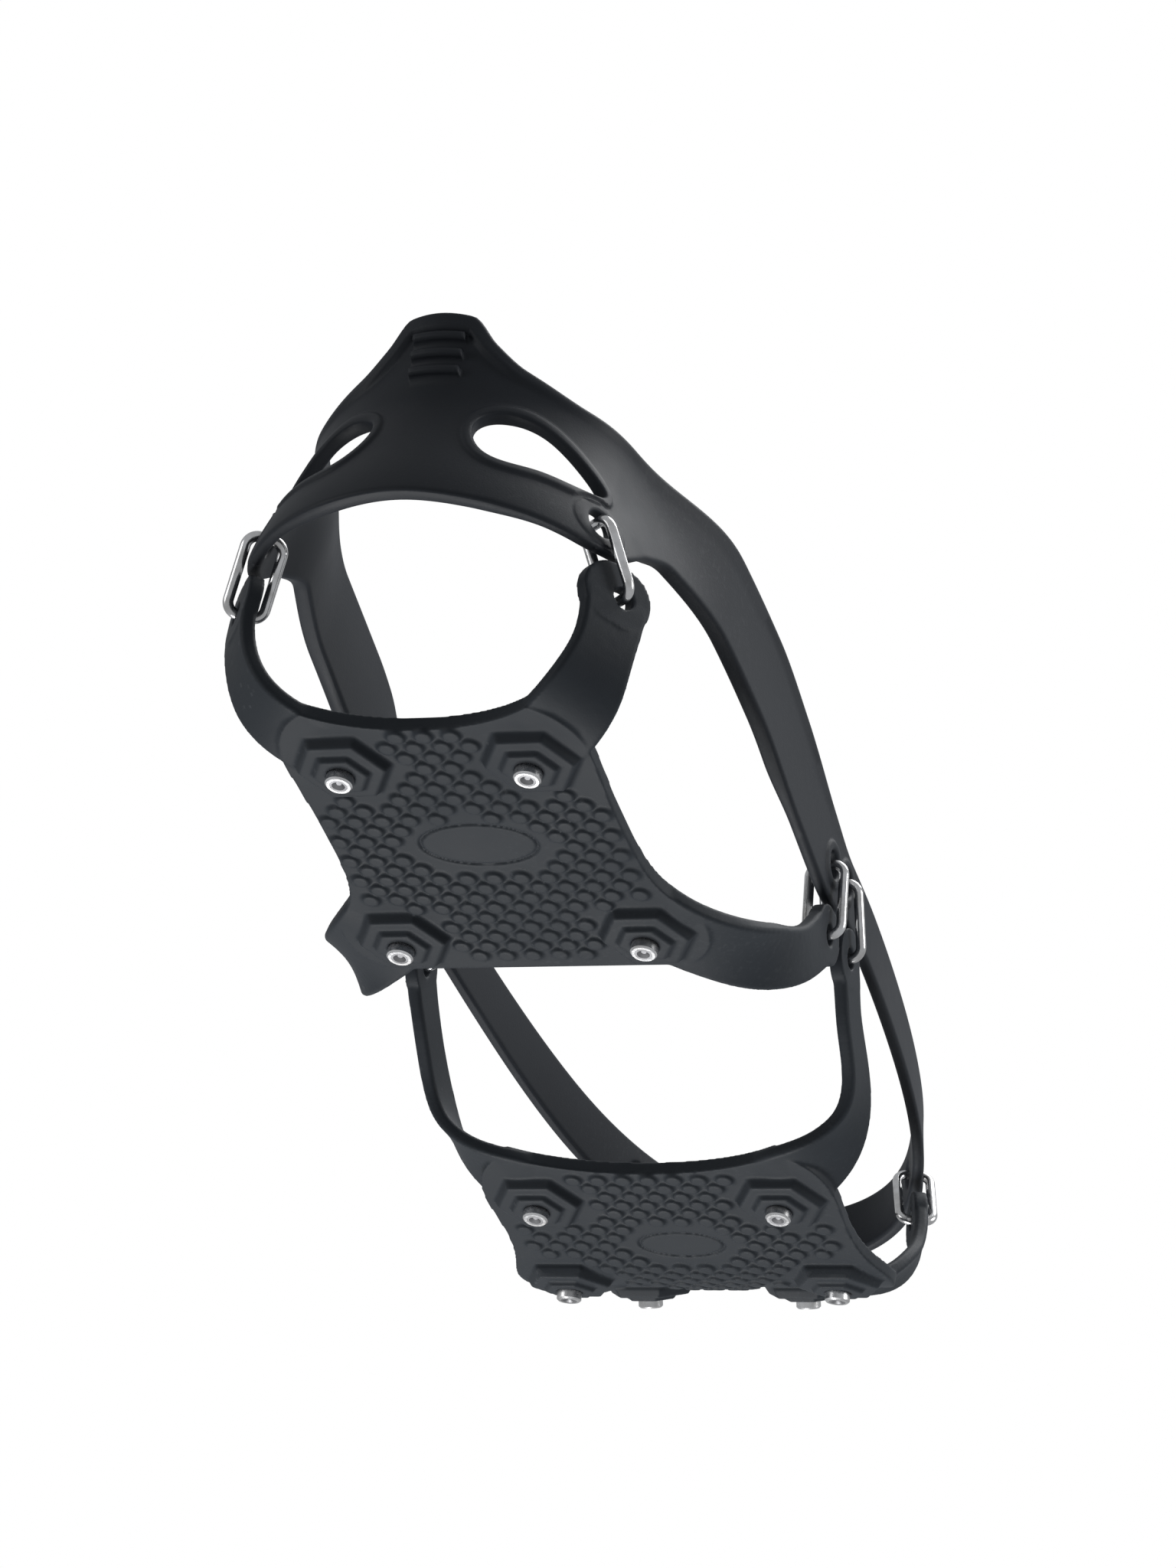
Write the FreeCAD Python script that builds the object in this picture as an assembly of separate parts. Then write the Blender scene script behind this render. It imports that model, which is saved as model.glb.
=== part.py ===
"""Slip-on shoe ice cleat: elastomer harness, two studded tread plates and eight wire links.

Millimetres. +Y points to the toe, +X to the wearer's right, +Z up.
The cleat stands on its stud tips at Z = 0, with X = Y = 0 at the middle of its length.
While it is being modelled, Y is measured from the rear row of heel studs.
"""

import FreeCAD, Part
import math
import os

from FreeCAD import Vector

# ---------------------------------------------------------------- driving dimensions
HEEL_BACK_Y = -47.0          # rearmost line of the heel cup
TOE_FRONT_Y = 255.0          # foremost line of the toe strap
MIDDLE_Y = 103.2             # half way between the harness's rearmost and foremost points
FRAME_SHIFT = Vector(0, -MIDDLE_Y, 0)

WALL = 2.6                   # harness thickness
PLATE_THICKNESS = 3.0
PLATE_BOTTOM = 5.0           # height of the tread plates' underside
PLATE_TOP = PLATE_BOTTOM + PLATE_THICKNESS
PLATE_MIDDLE = PLATE_BOTTOM + 0.5 * PLATE_THICKNESS
STRAP_CHAMFER = 0.6
ARM_ROOT_RISE = 0.5          # buries each arm's root, so that it doesn't show on the plate's underside

WIRE_RADIUS = 1.05
LINK_PITCH = 15.5            # distance between the two ends of a link that sit in holes
LINK_HALF_WIDTH = 3.7
LINK_CORNER = 2.4
ARM_HOLE_RADIUS = 2.3
ARM_TAB_RADIUS = 6.4
TAB_FLAT = 0.7               # an arm is flat from this many tab radii before its hole
EYELET_RADIUS = 3.0
EYELET_RIM = 2.3             # width of the raised ring round an eyelet
EYELET_RIM_RISE = 0.5

STUD_RADIUS = 2.7
STUD_PROUD = 1.9             # how far a stud stands out of its boss
PIN_RADIUS = 1.75
PIN_BORE_DEPTH = 3.4
PIN_DISH = 0.6
FLANGE_RADIUS = 4.2
FLANGE_THICKNESS = 1.0
SEAT_CLEARANCE = 0.03        # keeps inserted metal just clear of what holds it

BOSS_BASE_RADIUS = 10.2      # corner radius of the hexagon where it leaves the plate
BOSS_LOWER_RADIUS = 8.9
BOSS_STEP_RADIUS = 6.2
BOSS_UPPER_RADIUS = 5.5
BOSS_LOWER_HEIGHT = 2.0
BOSS_UPPER_HEIGHT = 1.1
BOSS_ROOT = 1.6              # how deep a boss reaches into its plate, so that it meets a curved one

DOT_RADIUS = 2.1
DOT_TOP_RADIUS = 1.6
DOT_RISE = 0.8
DOT_PITCH_X = 5.6
DOT_PITCH_Y = 3.3

TOE_BEND_START = 180.0       # the forefoot plate curls up towards the toe from here
TOE_BEND_RADIUS = 45.0

FLEX_Y = 106.0               # the forefoot unit folds about this line through the middle eyelets
FLEX_Z = 50.0
FLEX_DISC_RADIUS = 8.6
FLEX_GAP = 0.45

HEEL_STUDS = [(19.0, 0.0), (25.5, 58.0)]
FOREFOOT_STUDS = [(27.0, 157.0), (30.5, 192.0), (18.2, 208.0)]

# Plain oval panels in the fields of dots: (Y of the middle, half width, half length), with a groove inside
HEEL_PANEL = (27.0, 14.0, 8.6)
FOREFOOT_PANEL = (175.0, 11.5, 6.8)
GROOVE_INSET = 1.6
GROOVE_WIDTH = 0.9
GROOVE_DEPTH = 0.55

UP = Vector(0, 0, 1)


# ---------------------------------------------------------------- small helpers
def unit(vector):
    """The same direction with length one."""
    return Vector(vector) / vector.Length


def mirrored(shape):
    """The shape reflected to the other side of the foot."""
    return shape.mirror(Vector(0, 0, 0), Vector(1, 0, 0))


def curve_through(points, parameters=None):
    """Smooth curve through a short list of points, at the given parameters if there are any."""
    curve = Part.BSplineCurve()
    vectors = [Vector(*point) for point in points]
    if parameters:
        curve.interpolate(Points=vectors, Parameters=parameters)
    else:
        curve.interpolate(vectors)
    return curve


def sample(curve, fraction):
    """Point at a fraction of a curve's parameter range."""
    start, end = curve.FirstParameter, curve.LastParameter
    return curve.value(start + (end - start) * fraction)


def cylinder(centre, axis, radius, length):
    """Cylinder whose middle is at the centre."""
    start = centre - unit(axis) * (0.5 * length)
    return Part.makeCylinder(radius, length, start, axis)


def chamfered_section(centre, across, outward, half_width, thickness):
    """Rectangle with cut corners: 'centre' lies on the middle of the thickness."""
    half = 0.5 * thickness
    cut = min(STRAP_CHAMFER, 0.45 * thickness)
    corners = [
        (half_width - cut, half), (half_width, half - cut),
        (half_width, cut - half), (half_width - cut, -half),
        (cut - half_width, -half), (-half_width, cut - half),
        (-half_width, half - cut), (cut - half_width, half),
    ]
    points = [centre + across * a + outward * o for a, o in corners]
    return Part.makePolygon(points + [points[0]])


def strap(stations, thickness, count):
    """Curved flat strap. Each station is (centre, outward normal, half width)."""
    centres = [centre for centre, outward, half_width in stations]
    travelled = [0.0]
    for before, after in zip(centres, centres[1:]):
        travelled.append(travelled[-1] + (after - before).Length)
    centre_line = curve_through(centres, travelled)
    offsets = [centre + unit(outward) * 10 for centre, outward, half_width in stations]
    widths = [(station[2], reach, 0) for station, reach in zip(stations, travelled)]
    offset_line = curve_through(offsets, travelled)
    width_line = curve_through(widths, travelled)
    sections = []
    for index in range(count + 1):
        fraction = index / count
        centre = sample(centre_line, fraction)
        before = sample(centre_line, max(fraction - 0.01, 0.0))
        after = sample(centre_line, min(fraction + 0.01, 1.0))
        along = unit(after - before)
        normal = sample(offset_line, fraction) - centre
        normal = unit(normal - along * normal.dot(along))
        across = unit(normal.cross(along))
        sections.append(chamfered_section(centre, across, normal, sample(width_line, fraction).x, thickness))
    return Part.makeLoft(sections, True, False)


# ---------------------------------------------------------------- the shoe's outline
RIGHT_SIDE = [(22, -40.8), (36.4, -26), (42, -5), (45, 30), (46.8, 72), (48, 106),
              (47.8, 135), (47, 160), (45, 188), (39.5, 217), (29.5, 238), (15.5, 250.5)]
LEFT_SIDE = [(-x, y) for x, y in reversed(RIGHT_SIDE)]
SHOE_OUTLINE = Part.BSplineCurve()
SHOE_OUTLINE.interpolate(
    Points=[Vector(x, y, 0) for x, y in [(0, HEEL_BACK_Y)] + RIGHT_SIDE + [(0, TOE_FRONT_Y)] + LEFT_SIDE],
    PeriodicFlag=True)
OUTLINE_LENGTH = 0.5 * SHOE_OUTLINE.length()      # half way round, from heel to toe
OUTLINE_HEIGHT = 30.0        # the outline above is the harness's outer face at this height

# The shoe's sides draw in by this much over the rise above it: (distance from the back of the heel, inset)
LEAN = [(0, 7.6), (55, 7.6), (95, 1.2), (185, 1.0), (300, 4.0), (400, 4.0)]
LEAN_RISE = 35.0
FLARE = 0.18                 # the pull tab at the back flares out again above this height
FLARE_HEIGHT = 62.0
FLARE_REACH = 24.0


def smooth_step(share):
    """Ease from 0 to 1 without a corner at either end."""
    share = min(max(share, 0.0), 1.0)
    return share * share * (3 - 2 * share)


def table_slopes(table):
    """Slope at each listed point: level at the ends and wherever the values turn back."""
    rises = [(high - low) / (right - left) for (left, low), (right, high) in zip(table, table[1:])]
    inner = [2 * a * b / (a + b) if a * b > 0 else 0.0 for a, b in zip(rises, rises[1:])]
    return [0.0] + inner + [0.0]


def eased(table, distance):
    """Value at a distance along the outline, on a smooth curve through the listed points."""
    distance = abs(distance)
    slopes = table_slopes(table)
    for index, ((left, low), (right, high)) in enumerate(zip(table, table[1:])):
        if distance <= right:
            width = right - left
            share = (distance - left) / width
            leaving = slopes[index] * width * share * (1 - share) ** 2
            arriving = slopes[index + 1] * width * share ** 2 * (share - 1)
            return low + (high - low) * smooth_step(share) + leaving + arriving
    return table[-1][1]


def outline_at(distance):
    """Point and outward normal of the outline, at a distance from the back of the heel."""
    side = 1 if distance >= 0 else -1
    parameter = SHOE_OUTLINE.parameterAtDistance(abs(distance), SHOE_OUTLINE.FirstParameter)
    point = SHOE_OUTLINE.value(parameter)
    along = unit(Vector(*SHOE_OUTLINE.tangent(parameter)[0]))
    outward = Vector(along.y, -along.x, 0)
    if min(abs(distance), abs(abs(distance) - OUTLINE_LENGTH)) < 0.01:
        outward = unit(Vector(0, outward.y, 0))
    return Vector(side * point.x, point.y, 0), Vector(side * outward.x, outward.y, 0)


def harness_point(distance, height, depth=0.0):
    """Point of the harness wall; depth is measured inwards from its outer face."""
    point, outward = outline_at(distance)
    inset = eased(LEAN, distance) * smooth_step((height - OUTLINE_HEIGHT) / LEAN_RISE) + depth
    nearness = smooth_step(1 - abs(distance) / FLARE_REACH)
    inset -= FLARE * nearness * max(height - FLARE_HEIGHT, 0.0)
    return point - outward * inset + UP * height


def distance_at_y(y_value):
    """Distance along the outline at which it passes a given Y, between heel and toe."""
    low, high = 0.0, OUTLINE_LENGTH
    for _ in range(40):
        middle = 0.5 * (low + high)
        if outline_at(middle)[0].y < y_value:
            low = middle
        else:
            high = middle
    return 0.5 * (low + high)


# ---------------------------------------------------------------- harness
# (distance along the outline from the back of the heel, height), right side
UPPER_EDGE = [(0, 79.5), (7, 79.3), (13, 74.5), (21, 70.5), (38, 67.5), (60, 68.0), (90, 71.0),
              (120, 70.0), (142, 66.0), (165, 59.5), (180, 57.0), (200, 57.5), (260, 58.5),
              (OUTLINE_LENGTH, 59.0)]
LOWER_EDGE = [(0, 33.5), (15, 33.0), (38, 32.8), (48, 34.5), (60, 43.5), (72, 49.5), (88, 50.0),
              (118, 48.5), (146, 43.0), (168, 40.2), (180, 42.5), (200, 45.0), (260, 46.0),
              (OUTLINE_LENGTH, 46.5)]
SECTION_STEPS = 4
OVERSHOOT = 12.0             # half bands are made this much too long, so that they cross the middle smoothly
RIB_HEIGHTS = (74.6, 70.9, 67.2)
RIB_HALF_LENGTH = 6.25
RIB_WIDTH = 1.5
RIB_RISE = 1.1


def harness_section(distance):
    """Upright cross-section of the harness wall."""
    top = eased(UPPER_EDGE, distance)
    bottom = eased(LOWER_EDGE, distance)
    cut = STRAP_CHAMFER
    low, high = bottom + cut, top - cut
    levels = [low + (high - low) * index / SECTION_STEPS for index in range(SECTION_STEPS + 1)]
    corners = [(height, 0) for height in levels]
    corners += [(top, cut), (top, WALL - cut)]
    corners += [(height, WALL) for height in reversed(levels)]
    corners += [(bottom, WALL - cut), (bottom, cut)]
    points = [harness_point(distance, height, depth) for height, depth in corners]
    return Part.makePolygon(points + [points[0]])


def harness_band(start, end, count):
    """Right half of a band of harness wall; a distance past either end of the outline is trimmed off."""
    sections = [harness_section(start + (end - start) * index / count) for index in range(count + 1)]
    right_half = Part.makeBox(100, 400, 200, Vector(0, -100, -20))
    return Part.makeLoft(sections, True, False).common(right_half)


def eyelet_at(distance, height):
    """Middle of the wall and outward normal where an eyelet is made."""
    return harness_point(distance, height, 0.5 * WALL), outline_at(distance)[1]


def add_eyelet(body, centre, outward):
    """Raised rim with a round hole through the wall."""
    rim_length = 0.5 * WALL + EYELET_RIM_RISE
    rim = Part.makeCylinder(EYELET_RADIUS + EYELET_RIM, rim_length, centre, outward)
    return body.fuse(rim).cut(cylinder(centre, outward, EYELET_RADIUS, 4 * WALL))


# ---------------------------------------------------------------- tread plates
def hexagon(centre, radius, height):
    """Level hexagon with corners to the left and right."""
    points = []
    for index in range(6):
        angle = math.radians(60 * index)
        points.append(centre + Vector(radius * math.cos(angle), radius * math.sin(angle), height))
    return Part.makePolygon(points + [points[0]])


def boss_shape():
    """Two-step hexagonal boss that points down from Z = 0, with its stud cavity cut out."""
    start = Vector(0, 0, 0)
    lower = Part.makeLoft([hexagon(start, BOSS_BASE_RADIUS, BOSS_ROOT), hexagon(start, BOSS_BASE_RADIUS, 0),
                           hexagon(start, BOSS_LOWER_RADIUS, -BOSS_LOWER_HEIGHT)], True, True)
    upper = Part.makeLoft([hexagon(start, BOSS_STEP_RADIUS, 0.4 - BOSS_LOWER_HEIGHT),
                           hexagon(start, BOSS_STEP_RADIUS, -BOSS_LOWER_HEIGHT),
                           hexagon(start, BOSS_UPPER_RADIUS, -BOSS_HEIGHT)], True, True)
    return lower.fuse(upper)


BOSS_HEIGHT = BOSS_LOWER_HEIGHT + BOSS_UPPER_HEIGHT
FLANGE_TOP = 1.2             # top of the stud's flange, above the plate's underside


def stud_cavity():
    """Space for a stud's shank and flange, for a boss that leaves the plate at Z = 0."""
    shank = Part.makeCylinder(STUD_RADIUS + SEAT_CLEARANCE, BOSS_HEIGHT + 2 + FLANGE_TOP,
                              Vector(0, 0, -BOSS_HEIGHT - 2))
    flange = Part.makeCylinder(FLANGE_RADIUS + SEAT_CLEARANCE, FLANGE_THICKNESS + 2 * SEAT_CLEARANCE,
                               Vector(0, 0, FLANGE_TOP - FLANGE_THICKNESS - SEAT_CLEARANCE))
    return shank.fuse(flange)


def stud_body():
    """Flanged metal sleeve, with a blind hole in its tip for the hard pin."""
    tip = -BOSS_HEIGHT - STUD_PROUD
    shank = Part.makeCylinder(STUD_RADIUS, FLANGE_TOP - SEAT_CLEARANCE - tip, Vector(0, 0, tip))
    flange = Part.makeCylinder(FLANGE_RADIUS, FLANGE_THICKNESS, Vector(0, 0, FLANGE_TOP - FLANGE_THICKNESS))
    body = shank.fuse(flange).removeSplitter()
    rim = [edge for edge in body.Edges if edge.BoundBox.ZMax < tip + 0.01]
    body = body.makeChamfer(0.35, rim)
    hole = Part.makeCylinder(PIN_RADIUS + SEAT_CLEARANCE, PIN_BORE_DEPTH, Vector(0, 0, tip))
    return body.cut(hole)


def stud_pin():
    """Hard pin with a dished end, set in the sleeve's hole."""
    tip = -BOSS_HEIGHT - STUD_PROUD
    pin = Part.makeCylinder(PIN_RADIUS, PIN_BORE_DEPTH - SEAT_CLEARANCE, Vector(0, 0, tip))
    dish = Part.makeCone(0.75 * PIN_RADIUS, 0.3 * PIN_RADIUS, PIN_DISH, Vector(0, 0, tip))
    return pin.cut(dish)


def toe_rise(y_value):
    """How far the forefoot plate has curled up, and its slope angle, at a given Y."""
    run = max(y_value - TOE_BEND_START, 0.0)
    angle = math.asin(run / TOE_BEND_RADIUS)
    return TOE_BEND_RADIUS * (1 - math.cos(angle)), angle


def place(shape, x_value, y_value):
    """Copy of a boss, stud or dot, set square to the underside of its plate."""
    rise, angle = toe_rise(y_value)
    placed = shape.copy()
    placed.rotate(Vector(0, 0, 0), Vector(1, 0, 0), math.degrees(angle))
    placed.translate(Vector(x_value, y_value, PLATE_BOTTOM + rise))
    return placed


def dot():
    """Low round stud-like bump on the underside of a plate, with a steep side."""
    return Part.makeCone(DOT_TOP_RADIUS, DOT_RADIUS, DOT_RISE, Vector(0, 0, -DOT_RISE)).fuse(
        Part.makeCylinder(DOT_RADIUS, 0.4))


def dot_places(first_y, last_y, half_width, studs, panel):
    """Staggered dots that keep clear of bosses, panel and edges."""
    places = []
    row = 0
    y_value = first_y
    while y_value <= last_y:
        offset = 0.5 * DOT_PITCH_X * (row % 2)
        count = int(half_width(y_value) // DOT_PITCH_X) + 1
        for column in range(-count, count + 1):
            x_value = offset + column * DOT_PITCH_X
            inside = abs(x_value) < half_width(y_value) - DOT_RADIUS - 1.2
            to_studs = [math.hypot(abs(x_value) - sx, y_value - sy) for sx, sy in studs]
            near_stud = min(to_studs) < BOSS_BASE_RADIUS + 1.4
            panel_y, panel_x_half, panel_y_half = panel
            reach = math.hypot(x_value / (panel_x_half + 1), (y_value - panel_y) / (panel_y_half + 1))
            if inside and not near_stud and reach > 1:
                places.append((x_value, y_value))
        y_value += DOT_PITCH_Y
        row += 1
    return places


def oval(centre_y, half_x, half_y):
    """Tall oval column at the middle of the foot, wider than it is long."""
    edge = Part.Ellipse(Vector(0, centre_y, -5), half_x, half_y).toShape()
    return Part.Face(Part.Wire([edge])).extrude(Vector(0, 0, 60))


def panel_groove(panel):
    """Ring cutter for the groove in a plate's plain panel, on the level part of its underside."""
    centre_y, half_x, half_y = panel
    outer = oval(centre_y, half_x - GROOVE_INSET, half_y - GROOVE_INSET)
    inset = GROOVE_INSET + GROOVE_WIDTH
    inner = oval(centre_y, half_x - inset, half_y - inset)
    floor = Part.makeBox(100, 100, 10 + GROOVE_DEPTH, Vector(-50, centre_y - 50, PLATE_BOTTOM - 10))
    return outer.cut(inner).common(floor)


def plate_prism(right_edge):
    """Tall prism from the right half of a plate's outline and its mirror image."""
    right = curve_through([(x, y, -5) for x, y in right_edge])
    left = curve_through([(-x, y, -5) for x, y in right_edge])
    first, last = right_edge[0], right_edge[-1]
    back = Part.makeLine(Vector(-first[0], first[1], -5), Vector(first[0], first[1], -5))
    front = Part.makeLine(Vector(last[0], last[1], -5), Vector(-last[0], last[1], -5))
    outline = Part.Wire(Part.__sortEdges__([back, right.toShape(), front, left.toShape()]))
    return Part.Face(outline).extrude(Vector(0, 0, 60))


def finish_arm(plate, stations, hole, tab_reach):
    """Both sides' arms with round tabs and holes, joined to a plate. A tab can reach back behind its hole."""
    centre, outward = hole
    far_end = centre - unit(UP.cross(outward)) * tab_reach
    middle = (centre + far_end) * 0.5
    half_width = ARM_TAB_RADIUS + 0.5 * tab_reach - 0.6
    last_centre, last_outward, last_half_width = stations[-1]
    back = last_centre - middle
    back = unit(back - outward * back.dot(outward))
    flat_start = (middle + back * (TAB_FLAT * ARM_TAB_RADIUS), outward, 0.5 * (half_width + last_half_width))
    arm = strap(stations + [flat_start, (middle, outward, half_width)], PLATE_THICKNESS, 18)
    arm = arm.fuse(cylinder(centre, outward, ARM_TAB_RADIUS, PLATE_THICKNESS))
    if tab_reach:
        arm = arm.fuse(cylinder(far_end, outward, ARM_TAB_RADIUS, PLATE_THICKNESS))
    drill = cylinder(centre, outward, ARM_HOLE_RADIUS, 4 * PLATE_THICKNESS)
    plate = plate.fuse([arm, mirrored(arm)])
    return plate.cut(drill.fuse(mirrored(drill)))


def turned_back(hole, angle):
    """The same hole, facing further round towards the back of the heel."""
    centre, outward = hole
    turn = math.radians(-angle)
    x_part = outward.x * math.cos(turn) - outward.y * math.sin(turn)
    y_part = outward.x * math.sin(turn) + outward.y * math.cos(turn)
    return centre, Vector(x_part, y_part, 0)


# Tab holes of the arms and the eyelets they are linked to, right side.
REAR_TAB_TURN = 24.0
REAR_EYELET = eyelet_at(42.5, 39.6)
REAR_ARM_HOLE = turned_back(eyelet_at(51.5, 27.2), REAR_TAB_TURN)
FLEX_EYELET = eyelet_at(distance_at_y(FLEX_Y), FLEX_Z)
MIDDLE_EYELET = eyelet_at(distance_at_y(FLEX_Y - 9.6), 48.0)
HEEL_ARM_HOLE = eyelet_at(distance_at_y(99.8), 32.8)
FOREFOOT_ARM_HOLE = eyelet_at(distance_at_y(114.6), 37.0)
TOE_EYELET = eyelet_at(distance_at_y(224.0), 52.0)
TOE_ARM_HOLE = eyelet_at(distance_at_y(219.0), 37.7)

LINKS = {
    "rear": (REAR_ARM_HOLE, REAR_EYELET),
    "middle": (HEEL_ARM_HOLE, MIDDLE_EYELET),
    "flex": (FOREFOOT_ARM_HOLE, FLEX_EYELET),
    "toe": (TOE_ARM_HOLE, TOE_EYELET),
}


def link_frame(arm_hole, eyelet):
    """Origin in the arm hole, direction to the eyelet, and the axis the link swings about."""
    start, normal_a = arm_hole
    end, normal_b = eyelet
    along = unit(end - start)
    axis = normal_a + normal_b
    axis = unit(axis - along * axis.dot(along))
    return start, along, axis


def arm_hole_of(name):
    """A link's hole in its arm, square to the plane that the link swings in."""
    start, along, axis = link_frame(*LINKS[name])
    return start, axis


def link(arm_hole, eyelet):
    """Closed loop of round wire through an arm hole and an eyelet."""
    start, along, axis = link_frame(arm_hole, eyelet)

    def at(length, side):
        return start + along * length + axis * side

    straight, half, corner = LINK_PITCH, LINK_HALF_WIDTH, LINK_CORNER
    bend = corner * (1 - math.sqrt(0.5))
    edges = []
    ring = [(0, 1), (straight, 1), (straight, -1), (0, -1)]
    for index, (length, side) in enumerate(ring):
        next_length, next_side = ring[(index + 1) % 4]
        here = Vector(length, side * half, 0)
        there = Vector(next_length, next_side * half, 0)
        before_length, before_side = ring[index - 1]
        incoming = unit(here - Vector(before_length, before_side * half, 0))
        outgoing = unit(there - here)
        entry = here - incoming * corner
        leave = here + outgoing * corner
        middle = here + (outgoing - incoming) * bend
        arc = Part.Arc(at(entry.x, entry.y), at(middle.x, middle.y), at(leave.x, leave.y))
        following = there - outgoing * corner
        edges += [arc.toShape(), Part.makeLine(at(leave.x, leave.y), at(following.x, following.y))]
    spine = Part.Wire(Part.__sortEdges__(edges))
    start_point = spine.Edges[1].Vertexes[0].Point
    tangent = unit(spine.Edges[1].Vertexes[1].Point - start_point)
    circle = Part.Wire([Part.makeCircle(WIRE_RADIUS, start_point, tangent)])
    return spine.makePipeShell([circle], True, False, 1)


# ---------------------------------------------------------------- assemblies of each node
def build_plate(blank, studs, arms, dots, panel):
    """Add arms, bosses and dots to a plate blank, then cut the stud cavities."""
    plate = blank.cut(panel_groove(panel))
    for stations, hole, tab_reach in arms:
        plate = finish_arm(plate, stations, hole, tab_reach)
    boss, cavity, dome = boss_shape(), stud_cavity(), dot()
    pads = [place(boss, side * x, y) for x, y in studs for side in (1, -1)]
    domes = [place(dome, x, y) for x, y in dots]
    plate = plate.fuse(pads + domes)
    cavities = [place(cavity, side * x, y) for x, y in studs for side in (1, -1)]
    return plate.cut(cavities).removeSplitter()


def heel_half_width(y_value):
    """Half width of the heel plate's studded field."""
    return 30.0 + 5.0 * max(y_value, 0.0) / 62.0


def heel_plate():
    """Heel tread plate with two rear arms and two front arms."""
    slab = Part.makeBox(100, 120, PLATE_THICKNESS, Vector(-50, -30, PLATE_BOTTOM))
    prism = plate_prism([(20, -17), (26.5, -13), (30, -7), (31, 2), (30.5, 14), (30.5, 30), (33, 45),
                         (38, 56), (37, 63), (27, 69)])
    bay = oval(-26, 29, 15.7)
    blank = slab.common(prism).cut(bay)
    rear_arm = [
        (Vector(21, -3, PLATE_MIDDLE + ARM_ROOT_RISE), Vector(0, 0, -1), 9.0),
        (Vector(27.5, -9.5, PLATE_MIDDLE + 0.3), Vector(0.15, -0.1, -1), 8.4),
        (Vector(33.2, -15.0, 10.4), Vector(0.55, -0.35, -0.75), 7.8),
        (Vector(36.6, -18.3, 17.8), Vector(0.78, -0.54, -0.32), 6.6),
    ]
    front_arm = [
        (Vector(25, 53, PLATE_MIDDLE + ARM_ROOT_RISE), Vector(0, 0, -1), 11),
        (Vector(33, 61.5, PLATE_MIDDLE + 0.1), Vector(0.12, 0.08, -1), 10),
        (Vector(40, 70.5, 9.0), Vector(0.5, 0.1, -0.85), 8.2),
        (Vector(44.6, 80.5, 14.3), Vector(0.9, 0, -0.4), 6.6),
        (Vector(46.5, 91.0, 22.8), Vector(1, 0, -0.05), 5.8),
    ]
    arms = [(rear_arm, arm_hole_of("rear"), 2.8), (front_arm, arm_hole_of("middle"), 0)]
    dots = dot_places(-8.5, 66, heel_half_width, HEEL_STUDS, HEEL_PANEL)
    return build_plate(blank, HEEL_STUDS, arms, dots, HEEL_PANEL)


def forefoot_plate():
    """Forefoot tread plate: level at the back, curled up at the toe, with four arms."""
    end_y = 215.0
    rise, angle = toe_rise(end_y)
    half_rise, half_angle = toe_rise(TOE_BEND_START + TOE_BEND_RADIUS * math.sin(0.5 * angle))
    bend_centre = Vector(0, TOE_BEND_START, PLATE_BOTTOM + TOE_BEND_RADIUS)

    def on_bend(turn, radius):
        return bend_centre + Vector(0, radius * math.sin(turn), -radius * math.cos(turn))

    inner = TOE_BEND_RADIUS - PLATE_THICKNESS
    flat_start = Vector(0, 130, PLATE_BOTTOM)
    thickness = UP * PLATE_THICKNESS
    edges = [
        Part.makeLine(flat_start, on_bend(0, TOE_BEND_RADIUS)),
        Part.Arc(on_bend(0, TOE_BEND_RADIUS), on_bend(half_angle, TOE_BEND_RADIUS),
                 on_bend(angle, TOE_BEND_RADIUS)).toShape(),
        Part.makeLine(on_bend(angle, TOE_BEND_RADIUS), on_bend(angle, inner)),
        Part.Arc(on_bend(angle, inner), on_bend(half_angle, inner), on_bend(0, inner)).toShape(),
        Part.makeLine(on_bend(0, inner), flat_start + thickness),
        Part.makeLine(flat_start + thickness, flat_start),
    ]
    profile = Part.Face(Part.Wire(Part.__sortEdges__(edges)))
    profile.translate(Vector(-60, 0, 0))
    slab = profile.extrude(Vector(120, 0, 0))
    prism = plate_prism([(29.5, 139.9), (36, 145), (38.5, 152), (38.5, 168), (39.5, 180), (42, 190),
                         (40, 201), (32, 210), (23, 216)])
    bay = oval(130, 36.5, 16.5)
    blank = slab.common(prism).cut(bay)
    rear_arm = [
        (Vector(26, 153.5, PLATE_MIDDLE + ARM_ROOT_RISE), Vector(0, 0, -1), 9.0),
        (Vector(33.5, 148.2, PLATE_MIDDLE + 0.3), Vector(0.15, 0, -1), 9.7),
        (Vector(40.0, 145.0, 9.9), Vector(0.6, 0, -0.75), 8.6),
        (Vector(44.8, 140.5, 15.8), Vector(0.95, 0, -0.3), 6.8),
        (Vector(46.5, 133.5, 21.8), Vector(1, 0, -0.05), 5.4),
        (Vector(46.6, 123, 29.0), Vector(1, 0, 0), 5.2),
    ]
    front_arm = [
        (Vector(26, 193, PLATE_MIDDLE + toe_rise(193)[0] + ARM_ROOT_RISE), Vector(0, 0.29, -1), 9),
        (Vector(33, 199, PLATE_MIDDLE + toe_rise(199)[0]), Vector(0.15, 0.42, -1), 8.5),
        (Vector(37.6, 206, 17.0), Vector(0.65, 0.4, -0.65), 6.8),
        (Vector(39.0, 213, 25.0), Vector(0.9, 0.4, -0.25), 5.8),
    ]
    arms = [(rear_arm, arm_hole_of("flex"), 0), (front_arm, arm_hole_of("toe"), 0)]
    dots = dot_places(148.5, 210, lambda y: 37.0, FOREFOOT_STUDS, FOREFOOT_PANEL)
    return build_plate(blank, FOREFOOT_STUDS, arms, dots, FOREFOOT_PANEL)


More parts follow.
